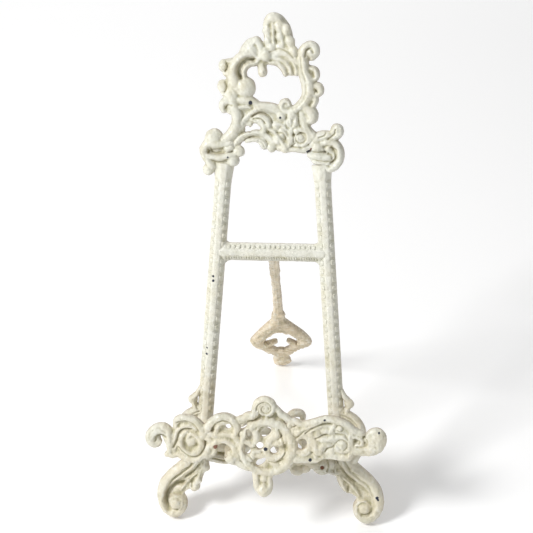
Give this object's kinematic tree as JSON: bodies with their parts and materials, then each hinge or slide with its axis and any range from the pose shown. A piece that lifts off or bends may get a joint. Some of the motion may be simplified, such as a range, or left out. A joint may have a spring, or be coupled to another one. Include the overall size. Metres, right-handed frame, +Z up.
{
  "type": "tabletop display easel",
  "caption": "Cast-iron tabletop display easel with rococo scrollwork, a ledge held off the front on arms and a hinged rear leg.",
  "frame": {"origin": "middle of the bounding box at table level, between the two front feet and the rear foot", "axes": "+Z up, +Y from the front of the easel to the rear leg, +X to the viewer's right seen from the front"},
  "size_m": [0.1912, 0.2322, 0.3789],
  "materials": {
    "cream_paint": "thick semi-gloss cream paint on cast iron, chipped, with grime in the recesses",
    "worn_paint": "thin matt beige paint on rough cast iron",
    "rusted_steel": "rusted steel with remains of cream paint"
  },
  "bodies": {
    "frame": {"left_post": "cream_paint", "right_post": "cream_paint", "crossbar": "cream_paint", "hinge_lugs": "cream_paint", "left_foot": "cream_paint", "right_foot": "cream_paint", "left_bracket": "cream_paint", "right_bracket": "cream_paint", "apron": "cream_paint", "left_capital": "cream_paint", "right_capital": "cream_paint", "crest_left_scroll": "cream_paint", "crest_right_scroll": "cream_paint", "crest_plume": "cream_paint", "crest_arch": "cream_paint", "crest_leaves": "cream_paint", "ledge_medallion": "cream_paint", "ledge_top_curl": "cream_paint", "ledge_drop": "cream_paint", "ledge_right_wing": "cream_paint", "ledge_left_wing": "cream_paint", "ledge_right_curl": "cream_paint", "ledge_left_curl": "cream_paint", "ledge_right_arm": "cream_paint", "ledge_left_arm": "cream_paint", "ledge_screws": "rusted_steel", "hinge_pin": "rusted_steel", "hinge_nut": "rusted_steel"},
    "rear_leg": {"leg_bar": "worn_paint", "leg_foot": "worn_paint"}
  },
  "joints": [
    {"name": "leg_hinge", "type": "hinge", "parent": "frame", "child": "rear_leg", "pos_m": [0, -0.00665, 0.20613], "axis": [1, 0, 0], "range_deg": [-51.5, 0]}
  ]
}
